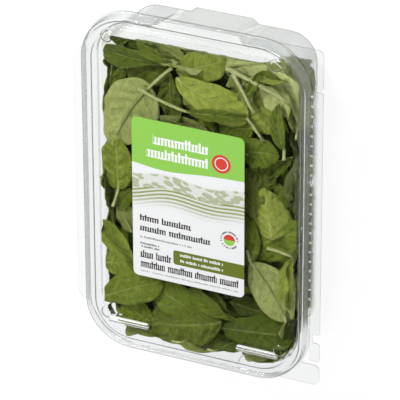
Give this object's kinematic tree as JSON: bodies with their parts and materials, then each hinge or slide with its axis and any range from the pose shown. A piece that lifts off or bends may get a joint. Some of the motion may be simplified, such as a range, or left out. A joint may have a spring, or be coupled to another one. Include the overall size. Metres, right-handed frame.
{
  "type": "clear plastic tub of spinach leaves",
  "caption": "Shut clear plastic clamshell tub filled with baby spinach leaves, with a rimmed lid, a paper label, a lift tab and a perforated tear strip.",
  "frame": {"origin": "under the middle of the pack, on the surface that the tub's base rests on", "axes": "+X to the right across the label, +Y up the label along the pack's length, +Z out of the lid"},
  "size_m": [0.211, 0.299, 0.0685],
  "materials": {
    "clear_plastic": "clear glossy thermoformed sheet",
    "label": "satin coated printed paper",
    "leaf": "satin fresh leaf, paler underneath"
  },
  "bodies": {
    "root": {"tub": "clear_plastic", "lid": "clear_plastic", "tear_strip": "clear_plastic", "label": "label", "leaves": "leaf"}
  },
  "joints": []
}
